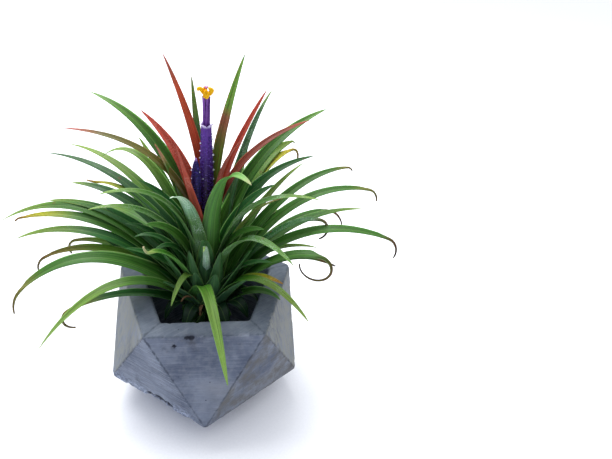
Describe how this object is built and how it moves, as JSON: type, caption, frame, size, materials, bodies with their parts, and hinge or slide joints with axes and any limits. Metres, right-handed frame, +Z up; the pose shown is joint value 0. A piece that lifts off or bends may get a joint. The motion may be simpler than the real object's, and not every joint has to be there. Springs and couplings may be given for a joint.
{
  "type": "air plant in a concrete pot",
  "caption": "Rosette air plant with narrow arching green leaves, red inner leaves and a violet tube flower, standing in a small faceted concrete pot.",
  "frame": {"origin": "centre of the pot's foot, on the surface that it stands on", "axes": "+Z up along the plant's stem and the pot's axis, -Y towards the flat side of the rim that faces the front"},
  "size_m": [0.1708, 0.1356, 0.1611],
  "materials": {
    "pot": "cast concrete, matt, with fine marks",
    "dry_base": "dry and fibrous",
    "green_leaves": "satin, with fine grey scales",
    "red_leaves": "satin, with fine grey scales",
    "flower_tube": "satin",
    "filaments": "satin",
    "anthers": "powdery",
    "stigma": "satin",
    "bud": "satin"
  },
  "bodies": {
    "root": {"pot": "pot", "dry_base": "dry_base", "green_leaves": "green_leaves", "red_leaves": "red_leaves", "flower_tube": "flower_tube", "filaments": "filaments", "anthers": "anthers", "stigma": "stigma", "bud": "bud"}
  },
  "joints": []
}
